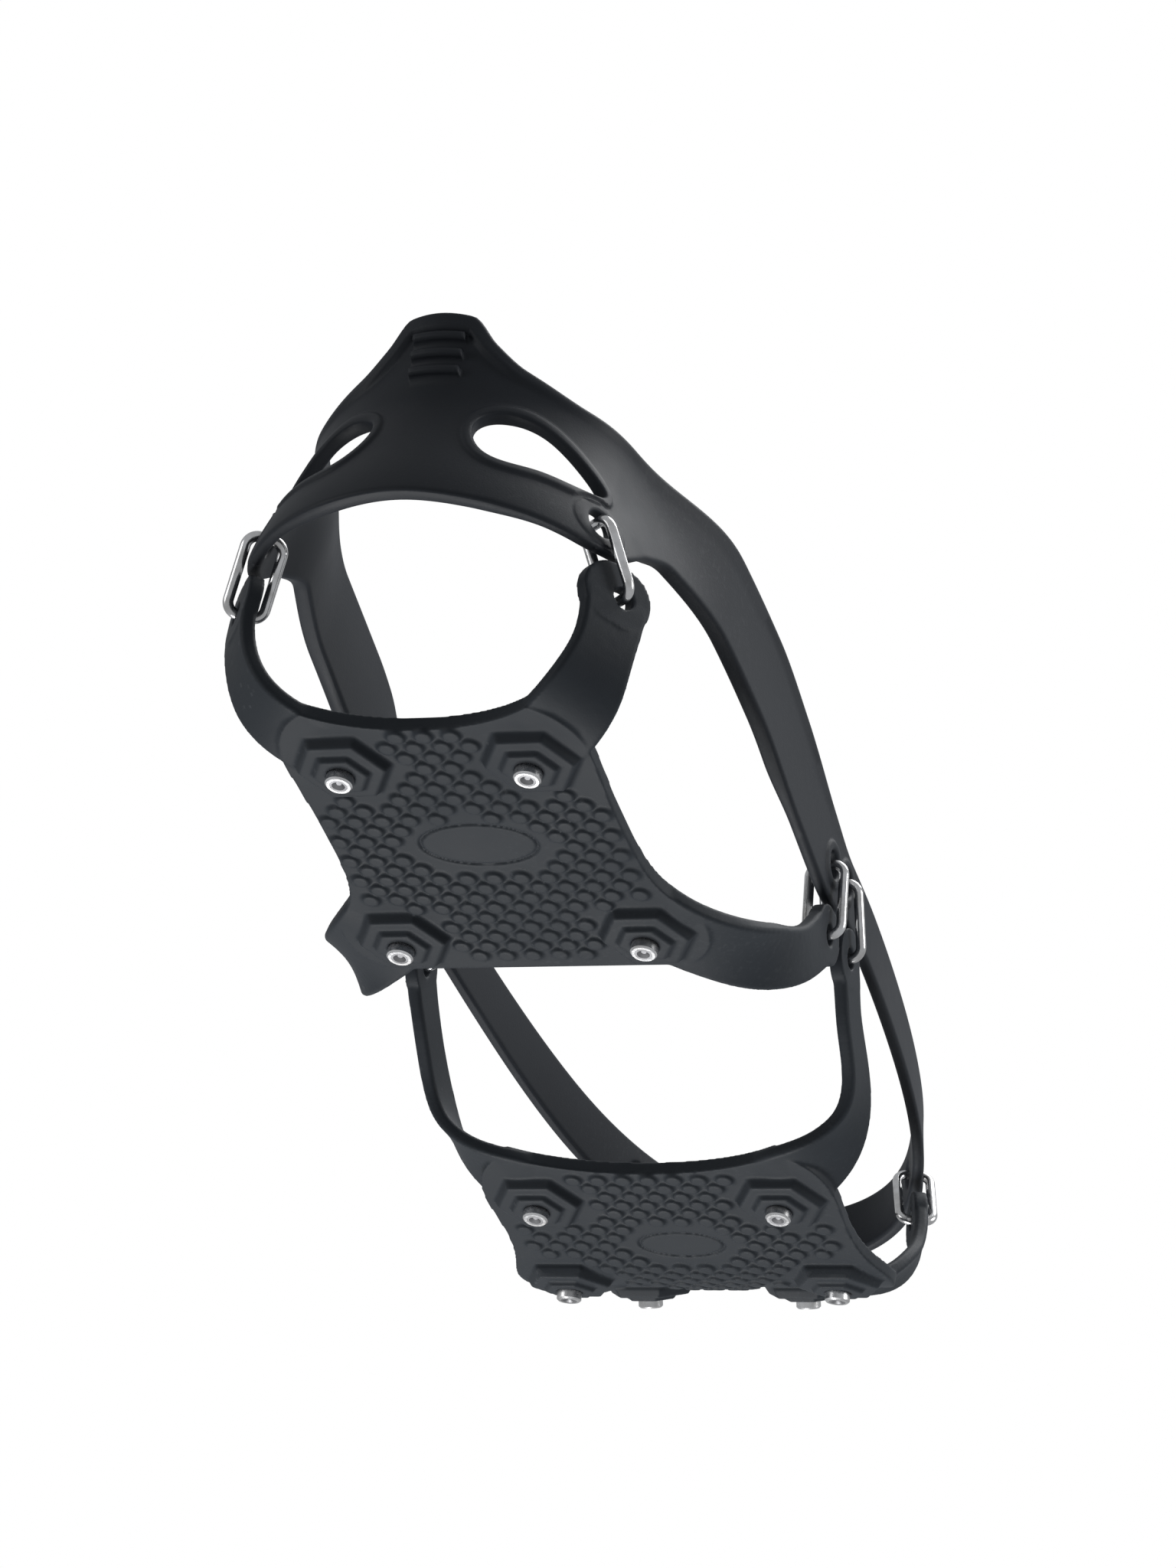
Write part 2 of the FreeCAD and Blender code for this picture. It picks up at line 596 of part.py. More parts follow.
def heel_window():
    """Cutter for one window in the heel cup, right side."""
    corners = [(12.5, 55.6), (19.5, 59.0), (30.5, 57.0), (40.0, 52.0), (44.0, 48.4), (38.5, 46.0),
               (27.0, 45.4), (15.5, 46.8)]
    inner = [harness_point(distance, height, 3 * WALL) for distance, height in corners]
    outer = [harness_point(distance, height, -3 * WALL) for distance, height in corners]

    def closed(points):
        curve = Part.BSplineCurve()
        curve.interpolate(points, PeriodicFlag=True)
        return Part.Wire([curve.toShape()])

    return Part.makeLoft([closed(inner), closed(outer)], True, True)


def pull_tab_ribs():
    """Right halves of the three grip ribs below the top edge of the heel cup."""
    ribs = []
    for height in RIB_HEIGHTS:
        face = harness_point(0, height)
        corner = Vector(0, face.y - RIB_RISE, face.z - 0.5 * RIB_WIDTH)
        ribs.append(Part.makeBox(RIB_HALF_LENGTH, RIB_RISE + 1, RIB_WIDTH, corner))
    return ribs


def flex_cylinder(radius):
    """Cylinder about the folding line, through both sides of the harness."""
    return cylinder(Vector(0, FLEX_Y, FLEX_Z), Vector(1, 0, 0), radius, 160)


def harness_heel():
    """Rear half of the harness: heel cup, side straps and the middle eyelets."""
    reach = distance_at_y(FLEX_Y + FLEX_DISC_RADIUS + 3)
    side = harness_band(-OVERSHOOT, reach, 48)
    ahead = Part.makeBox(160, 60, 120, Vector(-80, FLEX_Y, 0)).cut(flex_cylinder(FLEX_DISC_RADIUS))
    side = side.cut(ahead).cut(heel_window()).fuse(pull_tab_ribs())
    for centre, outward in (REAR_EYELET, MIDDLE_EYELET, FLEX_EYELET):
        side = add_eyelet(side, centre, outward)
    return side.fuse(mirrored(side)).removeSplitter()


def harness_toe():
    """Front half of the harness, round the toe."""
    start = distance_at_y(FLEX_Y - 2)
    side = harness_band(start, OUTLINE_LENGTH + OVERSHOOT, 40)
    behind = Part.makeBox(160, 60, 120, Vector(-80, FLEX_Y - 60, 0))
    side = side.cut(behind).cut(flex_cylinder(FLEX_DISC_RADIUS + FLEX_GAP))
    side = add_eyelet(side, *TOE_EYELET)
    return side.fuse(mirrored(side)).removeSplitter()


# ---------------------------------------------------------------- write one STEP per node
def save(name, shape):
    """Move a shape into the part's frame and write it."""
    placed = shape.copy()
    placed.translate(FRAME_SHIFT)
    placed.exportStep("parts/" + name + ".step")
    print(name, "solids", len(placed.Solids), "valid", placed.isValid(), "volume", round(placed.Volume, 1))


def main():
    os.makedirs("parts", exist_ok=True)
    save("harness_heel", harness_heel())
    save("harness_toe", harness_toe())
    save("heel_plate", heel_plate())
    save("forefoot_plate", forefoot_plate())
    for name, (arm_hole, eyelet) in LINKS.items():
        right = link(arm_hole, eyelet)
        save("link_" + name + "_right", right)
        save("link_" + name + "_left", mirrored(right))
    sleeve, pin = stud_body(), stud_pin()
    rows = [("heel_rear", HEEL_STUDS[0]), ("heel_front", HEEL_STUDS[1]), ("ball", FOREFOOT_STUDS[0]),
            ("toe_outer", FOREFOOT_STUDS[1]), ("toe_inner", FOREFOOT_STUDS[2])]
    for name, (x_value, y_value) in rows:
        for side, sign in (("right", 1), ("left", -1)):
            save("stud_" + name + "_" + side, place(sleeve, sign * x_value, y_value))
            save("pin_" + name + "_" + side, place(pin, sign * x_value, y_value))


main()
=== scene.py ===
"""Slip-on shoe ice cleat: one soft harness, two moulded tread plates, wire links, studs and pins.

Shapes are worked out in millimetres with Y measured from the rear row of heel studs, like the CAD model, and
are written in metres in the frame that all the pieces share.
"""

import math

import bmesh
import bpy
import numpy as np
from mathutils import Matrix, Vector, kdtree
from mathutils.geometry import delaunay_2d_cdt


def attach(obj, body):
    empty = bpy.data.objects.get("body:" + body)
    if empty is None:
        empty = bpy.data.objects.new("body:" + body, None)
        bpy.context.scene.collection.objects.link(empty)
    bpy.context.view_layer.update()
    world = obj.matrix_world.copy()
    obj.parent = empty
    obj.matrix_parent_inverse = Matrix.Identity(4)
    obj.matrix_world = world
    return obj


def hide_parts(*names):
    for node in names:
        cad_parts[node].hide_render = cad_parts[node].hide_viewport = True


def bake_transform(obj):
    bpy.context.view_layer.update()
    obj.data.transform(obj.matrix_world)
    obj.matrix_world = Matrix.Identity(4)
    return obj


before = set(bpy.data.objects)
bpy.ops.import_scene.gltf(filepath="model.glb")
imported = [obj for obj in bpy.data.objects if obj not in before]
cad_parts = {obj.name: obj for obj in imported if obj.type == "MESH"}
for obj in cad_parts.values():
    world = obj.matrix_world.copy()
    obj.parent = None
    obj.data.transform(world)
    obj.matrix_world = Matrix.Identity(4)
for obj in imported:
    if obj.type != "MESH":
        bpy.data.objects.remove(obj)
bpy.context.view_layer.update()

MM = 0.001
MIDDLE_Y = 103.2             # the shared frame's origin, measured from the rear heel studs

# ---------------------------------------------------------------- harness dimensions, as in the CAD model
HEEL_BACK_Y = -47.0
TOE_FRONT_Y = 255.0
WALL = 2.6
OUTLINE_HEIGHT = 30.0        # the wall starts to lean in at this height
LEAN_RISE = 35.0             # and has leaned in fully this much higher
RIGHT_SIDE = [(22, -40.8), (36.4, -26), (42, -5), (45, 30), (46.8, 72), (48, 106),
              (47.8, 135), (47, 160), (45, 188), (39.5, 217), (29.5, 238), (15.5, 250.5)]
LEAN = [(0, 7.6), (55, 7.6), (95, 1.2), (185, 1.0), (300, 4.0), (400, 4.0)]
FLARE = 0.18                 # above its height the heel tab leans back out by this share of its rise
FLARE_HEIGHT = 62.0
FLARE_REACH = 24.0
FLEX_Y = 106.0               # the forefoot unit folds about this line through the middle eyelets
FLEX_Z = 50.0
WINDOW = [(12.5, 55.6), (19.5, 59.0), (30.5, 57.0), (40.0, 52.0), (44.0, 48.4), (38.5, 46.0),
          (27.0, 45.4), (15.5, 46.8)]
EYELET_RADIUS = 3.0
RIB_HEIGHTS = [74.6, 70.9, 67.2]

# ---------------------------------------------------------------- relief and edges of the harness, for looks
EXTRA = 1.0                  # the cup and side straps are this much thicker, on the inside, between links
CUP_END = 18                 # the cup's extra thickness fades out from this distance
CUP_FALL = 14
STRAP_START = 52             # and the side strap's is there between these two distances
STRAP_RISE = 20
STRAP_END = 130
STRAP_FALL = 16
EDGE_ROUND = 0.8             # radius of the long edges, the window's edge and the eyelets' edges
RIB_RISE = 1.6               # the grip ribs across the heel tab, from their middle
RIB_HALF_LENGTH = 6.2
RIB_HALF_WIDTH = 0.55
RIB_FALL = 0.4
RIB_END_FALL = 0.5
WINDOW_RIM_RISE = 0.55
WINDOW_RIM_WIDTH = 1.9
WINDOW_RIM_FALL = 0.9
LIP_WIDTH = 3.1              # the raised lip along the upper edge, at the heel's middle
LIP_WIDTH_LOSS = 1.9         # how much narrower it gets
LIP_WIDTH_REACH = 45         # over this distance
LIP_RISE = 1.5
LIP_RISE_LOSS = 1.15         # how much lower it gets
LIP_RISE_REACH = 40          # over this distance
LIP_FALL = 1.1
LIP_END = 150
LIP_END_FALL = 30
RIM_SHARE = 0.86             # an eyelet's rim is level up to this share of its size
RIM_FALL = 0.2
GROOVE_SHARE = 1.02          # where the groove round a rim runs, in the same shares
GROOVE_HALF_WIDTH = 0.02
GROOVE_FALL = 0.11

# ---------------------------------------------------------------- where the harness mesh has its lines
LINE_STEP = 1.1              # distance between points along a long edge
SLOPE_REACH = 0.05           # an edge's slope is taken this far either side of a point
LEVEL_REACH = 0.1            # and is level this near the middle of the heel or toe
ROUND_RINGS = [0.0, 0.05, 0.2, 0.45, EDGE_ROUND]
BAND_RING = 1.3
LIP_RINGS = [1.9, 2.5, 3.1, 3.7, 4.2]
LIP_RINGS_END = 60
WINDOW_POINTS = 110
WINDOW_RINGS = [1.4, 1.9, 2.2, 2.5, 2.8, 3.4]
RIM_SCALES = [0.86, 0.91, 0.96, 1.0, 1.04, 1.09, 1.16]
RIB_LINES = [-0.95, -0.75, -0.55, 0.0, 0.55, 0.75, 0.95]
RIB_PLACES = [0, 1, 2, 3, 4, 5, RIB_HALF_LENGTH - 0.4, RIB_HALF_LENGTH - 0.15,
              RIB_HALF_LENGTH + 0.1, RIB_HALF_LENGTH + 0.5]
FILL_PITCH = 1.9             # spacing of the points between the lines
FILL_GAP = 0.75              # and their least distance from a line's points
FILL_BELOW = 0.4             # and from the upper edge
FILL_ABOVE = 0.5             # and from the lower edge
LONGEST_SIDE = 12            # a longer triangle only spans the outside of the plan
SEAM_REACH = 0.001           # points this near the middle of the heel or toe belong to both sides
SLACK = 1e-9                 # rounding error that the end of a line may have
FINE_STEP = 0.1              # spacing of the points that distances to an edge are measured from
FINE_WINDOW_POINTS = 1200

# ---------------------------------------------------------------- tread plates' meshes and floor, in metres
PLATE_VOXEL = 0.00036        # spacing of the tread plates' new mesh
PLATE_ROUNDS = 3             # smoothing passes that round its small edges
FLOOR_HALF = 4.0
FLOOR_HEIGHT = -0.0004


# ---------------------------------------------------------------- curves
def periodic_spline(points, count):
    """Closed smooth cubic curve through the points, sampled evenly in its chord-length parameter."""
    points = np.array(points, float)
    following = np.roll(points, -1, axis=0)
    chord = np.linalg.norm(following - points, axis=1)
    number = len(points)
    system = np.zeros((number, number))
    right = np.zeros_like(points)
    for i in range(number):
        before, after = chord[i - 1], chord[i]
        system[i, i - 1] += before
        system[i, i] += 2 * (before + after)
        system[i, (i + 1) % number] += after
        right[i] = 6 * ((following[i] - points[i]) / after - (points[i] - points[i - 1]) / before)
    bend = np.linalg.solve(system, right)
    bend_next = np.roll(bend, -1, axis=0)
    knots = np.concatenate([[0], np.cumsum(chord)])
    at = np.linspace(0, knots[-1], count, endpoint=False)
    span = np.clip(np.searchsorted(knots, at, side="right") - 1, 0, number - 1)
    h = chord[span][:, None]
    a = (knots[span + 1] - at)[:, None] / h
    b = 1 - a
    return (a * points[span] + b * following[span]
            + ((a ** 3 - a) * bend[span] + (b ** 3 - b) * bend_next[span]) * h ** 2 / 6)


def smooth_step(share):
    """Ease from 0 to 1 without a corner at either end."""
    share = np.clip(share, 0.0, 1.0)
    return share * share * (3 - 2 * share)


def eased(table, distance):
    """Values at distances along the outline, on a smooth curve through the listed points."""
    places = np.array([row[0] for row in table], float)
    values = np.array([row[1] for row in table], float)
    rises = np.diff(values) / np.diff(places)
    slopes = np.zeros(len(values))
    for i in range(1, len(values) - 1):
        if rises[i - 1] * rises[i] > 0:
            slopes[i] = 2 * rises[i - 1] * rises[i] / (rises[i - 1] + rises[i])
    distance = np.clip(np.abs(distance), places[0], places[-1])
    index = np.clip(np.searchsorted(places, distance, side="left") - 1, 0, len(places) - 2)
    width = places[index + 1] - places[index]
    share = (distance - places[index]) / width
    leaving = slopes[index] * width * share * (1 - share) ** 2
    arriving = slopes[index + 1] * width * share ** 2 * (share - 1)
    return values[index] + (values[index + 1] - values[index]) * smooth_step(share) + leaving + arriving


def plateau(distance, width, fall):
    """1 up to a distance, then down to 0 over the fall."""
    return 1 - smooth_step((distance - width) / fall)


# ---------------------------------------------------------------- the shoe's outline
OUTLINE_SAMPLES = 24000
TOE_SLACK = 0.5              # the right side's samples go on this far past the toe's middle
left_side = [(-x, y) for x, y in reversed(RIGHT_SIDE)]
closed_points = [(0, HEEL_BACK_Y)] + RIGHT_SIDE + [(0, TOE_FRONT_Y)] + left_side
outline = periodic_spline(closed_points, OUTLINE_SAMPLES)
steps = np.linalg.norm(np.diff(np.vstack([outline, outline[:1]]), axis=0), axis=1)
travelled = np.concatenate([[0], np.cumsum(steps)])
outline_length = 0.5 * travelled[-1]
right_half = travelled[:-1] <= outline_length + TOE_SLACK
outline_s = travelled[:-1][right_half]
outline_xy = outline[right_half]
tangent = np.gradient(outline_xy, outline_s, axis=0)
tangent /= np.linalg.norm(tangent, axis=1)[:, None]


def wall_points(distance, height, depth):
    """Points of the harness wall in the row frame, in metres, for the right side."""
    distance = np.asarray(distance, float)
    height = np.asarray(height, float)
    x = np.interp(distance, outline_s, outline_xy[:, 0])
    y = np.interp(distance, outline_s, outline_xy[:, 1])
    along_x = np.interp(distance, outline_s, tangent[:, 0])
    along_y = np.interp(distance, outline_s, tangent[:, 1])
    size = np.hypot(along_x, along_y)
    out_x, out_y = along_y / size, -along_x / size
    inset = eased(LEAN, distance) * smooth_step((height - OUTLINE_HEIGHT) / LEAN_RISE) + depth
    nearness = smooth_step(1 - distance / FLARE_REACH)
    inset = inset - FLARE * nearness * np.maximum(height - FLARE_HEIGHT, 0.0)
    return np.column_stack([x - out_x * inset, y - out_y * inset - MIDDLE_Y, height]) * MM


def distance_at_y(y_value):
    """Distance along the outline at which it passes a given Y, between heel and toe."""
    return float(np.interp(y_value, outline_xy[:, 1], outline_s))


UPPER_EDGE = [(0, 79.5), (7, 79.3), (13, 74.5), (21, 70.5), (38, 67.5), (60, 68.0), (90, 71.0),
              (120, 70.0), (142, 66.0), (165, 59.5), (180, 57.0), (200, 57.5), (260, 58.5),
              (outline_length, 59.0)]
LOWER_EDGE = [(0, 33.5), (15, 33.0), (38, 32.8), (48, 34.5), (60, 43.5), (72, 49.5), (88, 50.0),
              (118, 48.5), (146, 43.0), (168, 40.2), (180, 42.5), (200, 45.0), (260, 46.0),
              (outline_length, 46.5)]
# Each eyelet: distance, height, rim's half width and half height, rim's rise, depth of the groove round it
EYELETS = [
    (42.5, 39.6, 7.4, 5.6, 0.2, 0.6),
    (distance_at_y(FLEX_Y - 9.6), 48.0, 5.3, 5.3, 0.5, 0.0),
    (distance_at_y(FLEX_Y), FLEX_Z, 5.3, 5.3, 0.5, 0.0),
    (distance_at_y(224.0), 52.0, 5.3, 5.3, 0.5, 0.0),
]
EYELET_CENTRES = [eyelet[:2] for eyelet in EYELETS]


# ---------------------------------------------------------------- harness
def edge_ring(table, offset, into, start, end, step):
    """Line inside one long edge of the band, at a distance from it; into is 1 for up and -1 for down."""
    places = np.linspace(start, end, max(int((end - start) / step), 2) + 1)
    heights = eased(table, places)
    slope = (eased(table, places + SLOPE_REACH) - eased(table, places - SLOPE_REACH)) / (2 * SLOPE_REACH)
    slope[(places < LEVEL_REACH) | (places > outline_length - LEVEL_REACH)] = 0.0
    length = np.hypot(1, slope)
    return np.column_stack([places - into * offset * slope / length, heights + into * offset / length])


def offset_loop(loop, offset):
    """Loop moved outwards by a distance; the loop runs either way round."""
    before, after = np.roll(loop, 1, axis=0), np.roll(loop, -1, axis=0)
    along = after - before
    along /= np.linalg.norm(along, axis=1)[:, None]
    normal = np.column_stack([along[:, 1], -along[:, 0]])
    centre = loop.mean(axis=0)
    if np.sum(normal * (loop - centre)) < 0:
        normal = -normal
    return loop + normal * offset


def distance_to_line(points, corners):
    """Distance from each point to the nearest corner of a densely sampled line."""
    tree = kdtree.KDTree(len(corners))
    for i, corner in enumerate(corners):
        tree.insert((corner[0], corner[1], 0), i)
    tree.balance()
    return np.array([tree.find((p[0], p[1], 0))[2] for p in points])


def inside_loop(points, loop):
    """True for points inside a closed loop."""
    inside = np.zeros(len(points), bool)
    following = np.roll(loop, -1, axis=0)
    for (ax, ay), (bx, by) in zip(loop, following):
        crosses = (ay > points[:, 1]) != (by > points[:, 1])
        if crosses.any():
            reach = ax + (points[:, 1] - ay) / (by - ay + 1e-12) * (bx - ax)
            inside ^= crosses & (points[:, 0] < reach)
    return inside


def circle_loop(centre, radius, count=56):
    """Evenly spaced points round a circle."""
    turn = np.linspace(0, 2 * math.pi, count, endpoint=False)
    return np.column_stack([centre[0] + radius * np.cos(turn), centre[1] + radius * np.sin(turn)])


def harness_relief(plan, window_distance, top_distance):
    """How far the outer face stands proud of the plain wall, at each point of the plan."""
    along, up = plan[:, 0], plan[:, 1]
    relief = WINDOW_RIM_RISE * plateau(window_distance, WINDOW_RIM_WIDTH, WINDOW_RIM_FALL)
    lip_width = LIP_WIDTH - LIP_WIDTH_LOSS * smooth_step(along / LIP_WIDTH_REACH)
    lip_rise = LIP_RISE - LIP_RISE_LOSS * smooth_step(along / LIP_RISE_REACH)
    lip = lip_rise * plateau(top_distance, lip_width, LIP_FALL) * plateau(along, LIP_END, LIP_END_FALL)
    relief = np.maximum(relief, lip)
    for place, height, half_width, half_height, rise, groove in EYELETS:
        reach = np.hypot((along - place) / half_width, (up - height) / half_height)
        relief = np.maximum(relief, rise * plateau(reach, RIM_SHARE, RIM_FALL))
        relief = relief - groove * plateau(np.abs(reach - GROOVE_SHARE), GROOVE_HALF_WIDTH, GROOVE_FALL)
    for height in RIB_HEIGHTS:
        across = plateau(np.abs(up - height), RIB_HALF_WIDTH, RIB_FALL)
        lengthwise = plateau(along, RIB_HALF_LENGTH - RIB_FALL, RIB_END_FALL)
        relief = np.maximum(relief, RIB_RISE * across * lengthwise)
    return relief


def plan_lines():
    """Mesh lines along the band's two long edges and across the grip ribs."""
    lines = []
    for offset in ROUND_RINGS + [BAND_RING]:
        lines.append(edge_ring(UPPER_EDGE, offset, -1, 0, outline_length, LINE_STEP))
        lines.append(edge_ring(LOWER_EDGE, offset, 1, 0, outline_length, LINE_STEP))
    for offset in LIP_RINGS:
        lines.append(edge_ring(UPPER_EDGE, offset, -1, 0, LIP_RINGS_END, LINE_STEP))
    for height in RIB_HEIGHTS:
        for offset in RIB_LINES:
            lines.append(np.column_stack([RIB_PLACES, np.full(len(RIB_PLACES), height + offset)]))
    return lines


def plan_loops(window):
    """Closed mesh lines round the window, and round each eyelet's hole and rim."""
    loops = [offset_loop(window, offset) for offset in ROUND_RINGS + WINDOW_RINGS]
    circle = circle_loop((0, 0), 1.0)
    for place, height, half_width, half_height, *_ in EYELETS:
        for offset in ROUND_RINGS:
            loops.append(circle_loop((place, height), EYELET_RADIUS + offset))
        for scale in RIM_SCALES:
            loops.append(np.column_stack([place + circle[:, 0] * half_width * scale,
                                          height + circle[:, 1] * half_height * scale]))
    return loops


def points_and_edges(lines, loops):
    """One list of the points of all the mesh lines, and the edges that join them."""
    points, edges = [], []
    for line in lines:
        within = (line[:, 0] >= -SLACK) & (line[:, 0] <= outline_length + SLACK)
        start = len(points)
        points += [tuple(point) for point in line[within]]
        edges += [(i, i + 1) for i in range(start, len(points) - 1)]
    for loop in loops:
        start = len(points)
        points += [tuple(point) for point in loop]
        edges += [(start + i, start + (i + 1) % len(loop)) for i in range(len(loop))]
    return points, edges


def fill_points(points):
    """An even grid of points over the band, wherever the mesh lines leave room."""
    taken = kdtree.KDTree(len(points))
    for i, point in enumerate(points):
        taken.insert((point[0], point[1], 0), i)
    taken.balance()
    added = []
    pitch = outline_length / round(outline_length / FILL_PITCH)
    for place in np.arange(0, outline_length + 0.01, pitch):
        low = float(eased(LOWER_EDGE, place))
        high = float(eased(UPPER_EDGE, place))
        for height in np.arange(low + FILL_ABOVE, high - FILL_BELOW, FILL_PITCH):
            if taken.find((place, height, 0))[2] > FILL_GAP:
                added.append((float(place), float(height)))
    return added


def without_spare_points(plan, faces):
    """The plan with only the points that its triangles use."""
    used = np.unique(faces)
    renumber = np.full(len(plan), -1)
    renumber[used] = np.arange(len(used))
    return plan[used], renumber[faces]


def harness_plan():
    """Points and triangles of the right half of the harness, laid flat, with its window and eyelets."""
    window = periodic_spline(WINDOW, WINDOW_POINTS)
    points, edges = points_and_edges(plan_lines(), plan_loops(window))
    points += fill_points(points)
    made = delaunay_2d_cdt([Vector(point) for point in points], edges, [], 0, 1e-5)
    plan = np.array([tuple(point) for point in made[0]])
    faces = np.array(made[2])
    centre = plan[faces].mean(axis=1)
    keep = centre[:, 1] > eased(LOWER_EDGE, centre[:, 0])
    keep &= centre[:, 1] < eased(UPPER_EDGE, centre[:, 0])
    keep &= ~inside_loop(centre, window)
    for middle in EYELET_CENTRES:
        keep &= ~inside_loop(centre, circle_loop(middle, EYELET_RADIUS))
    spread = plan[faces].max(axis=1) - plan[faces].min(axis=1)
    keep &= spread.max(axis=1) < LONGEST_SIDE
    return without_spare_points(plan, faces[keep])


def harness_faces(plan):
    """Outer and inner faces of the harness wall over the plan, with rounded edges."""
    window_distance = distance_to_line(plan, periodic_spline(WINDOW, FINE_WINDOW_POINTS))
    top_distance = distance_to_line(plan, edge_ring(UPPER_EDGE, 0, -1, 0, outline_length, FINE_STEP))
    low_distance = distance_to_line(plan, edge_ring(LOWER_EDGE, 0, 1, 0, outline_length, FINE_STEP))
    edge_distance = np.minimum(np.minimum(window_distance, top_distance), low_distance)
    for place, height in EYELET_CENTRES:
        hole_distance = np.abs(np.hypot(plan[:, 0] - place, plan[:, 1] - height) - EYELET_RADIUS)
        edge_distance = np.minimum(edge_distance, hole_distance)
    rest = EDGE_ROUND - np.minimum(edge_distance, EDGE_ROUND)
    rounding = EDGE_ROUND - np.sqrt(np.maximum(EDGE_ROUND ** 2 - rest ** 2, 0))
    relief = harness_relief(plan, window_distance, top_distance)
    outer = wall_points(plan[:, 0], plan[:, 1], rounding - relief)
    strap = smooth_step((plan[:, 0] - STRAP_START) / STRAP_RISE) * plateau(plan[:, 0], STRAP_END, STRAP_FALL)
    cup = plateau(plan[:, 0], CUP_END, CUP_FALL)
    thickness = WALL + EXTRA * np.maximum(strap, cup)
    inner = wall_points(plan[:, 0], plan[:, 1], thickness - rounding)
    return outer, inner


def side_walls(faces, seam, count):
    """Quads that join the outer and inner faces along every open edge but the seam."""
    uses = {}
    for a, b, c in faces:
        for edge in ((a, b), (b, c), (c, a)):
            key = (min(edge), max(edge))
            uses[key] = uses.get(key, 0) + 1
    walls = []
    for (a, b), times in uses.items():
        if times == 1 and not (seam[a] and seam[b]):
            walls.append((a, b, b + count, a + count))
    return walls


def merge_seam(mesh):
    """Join the two sides of the harness at X = 0, and shade it smooth."""
    shape = bmesh.new()
    shape.from_mesh(mesh)
    middle = [vertex for vertex in shape.verts if vertex.co.x == 0.0]
    bmesh.ops.remove_doubles(shape, verts=middle, dist=1e-6)
    bmesh.ops.recalc_face_normals(shape, faces=shape.faces)
    for face in shape.faces:
        face.smooth = True
    shape.to_mesh(mesh)
    shape.free()


def harness_mesh():
    """Both sides of the harness as one closed mesh."""
    plan, faces = harness_plan()
    outer, inner = harness_faces(plan)
    count = len(plan)
    seam = (plan[:, 0] < SEAM_REACH) | (plan[:, 0] > outline_length - SEAM_REACH)
    all_faces = [tuple(face) for face in faces]
    all_faces += [(face[2] + count, face[1] + count, face[0] + count) for face in faces]
    all_faces += side_walls(faces, seam, count)
    right = np.vstack([outer, inner])
    # The seam's points lie exactly on the middle plane, so that the two sides meet there
    right[np.tile(seam, 2), 0] = 0.0
    left = right * np.array([-1, 1, 1])
    total = len(right)
    all_faces += [tuple(i + total for i in reversed(face)) for face in all_faces]
    vertices = [tuple(point) for point in np.vstack([right, left])]
    mesh = bpy.data.meshes.new("harness")
    mesh.from_pydata(vertices, [], [[int(i) for i in face] for face in all_faces])
    merge_seam(mesh)
    return mesh


# ---------------------------------------------------------------- materials
def new_material(name):
    """A plain node material, with its tree, its shader and its object coordinates."""
    material = bpy.data.materials.new(name)
    material.use_nodes = True
    tree = material.node_tree
    shader = tree.nodes["Principled BSDF"]
    coordinates = tree.nodes.new("ShaderNodeTexCoord")
    return material, tree, shader, coordinates.outputs["Object"]


def noise(tree, place, scale, detail, rough=0.5):
    """Noise texture; its scale is in features per metre."""
    node = tree.nodes.new("ShaderNodeTexNoise")
    node.inputs["Scale"].default_value = scale
    node.inputs["Detail"].default_value = detail
    node.inputs["Roughness"].default_value = rough
    tree.links.new(place, node.inputs["Vector"])
    return node.outputs["Fac"]


def remap(tree, value, low, high, to_low, to_high):
    """Value moved from one range to another, held at both ends."""
    node = tree.nodes.new("ShaderNodeMapRange")
    node.inputs["From Min"].default_value = low
    node.inputs["From Max"].default_value = high
    node.inputs["To Min"].default_value = to_low
    node.inputs["To Max"].default_value = to_high
    tree.links.new(value, node.inputs["Value"])
    return node.outputs["Result"]


def mix_colours(tree, share, first, second):
    """Colour between two colours; each is a colour or a socket."""
    node = tree.nodes.new("ShaderNodeMix")
    node.data_type = "RGBA"
    # Among the node's sockets, colours go in at 6 and 7 and come out at 2
    for slot, value in ((6, first), (7, second)):
        if isinstance(value, tuple):
            node.inputs[slot].default_value = (*value, 1)
        else:
            tree.links.new(value, node.inputs[slot])
    tree.links.new(share, node.inputs[0])
    return node.outputs[2]


def math_node(tree, operation, first, second):
    """Arithmetic on two values; each is a number or a socket."""
    node = tree.nodes.new("ShaderNodeMath")
    node.operation = operation
    for slot, value in ((0, first), (1, second)):
        if isinstance(value, (int, float)):
            node.inputs[slot].default_value = value
        else:
            tree.links.new(value, node.inputs[slot])
    return node.outputs[0]


def bump(tree, shader, height, distance, strength):
    """Small surface relief from a height between 0 and 1."""
    node = tree.nodes.new("ShaderNodeBump")
    node.inputs["Distance"].default_value = distance
    node.inputs["Strength"].default_value = strength
    tree.links.new(height, node.inputs["Height"])
    tree.links.new(node.outputs["Normal"], shader.inputs["Normal"])


def edge_share(tree):
    """1 on sharp outer edges and 0 on flat or hollow places."""
    geometry = tree.nodes.new("ShaderNodeNewGeometry")
    return remap(tree, geometry.outputs["Pointiness"], 0.53, 0.62, 0.0, 1.0)


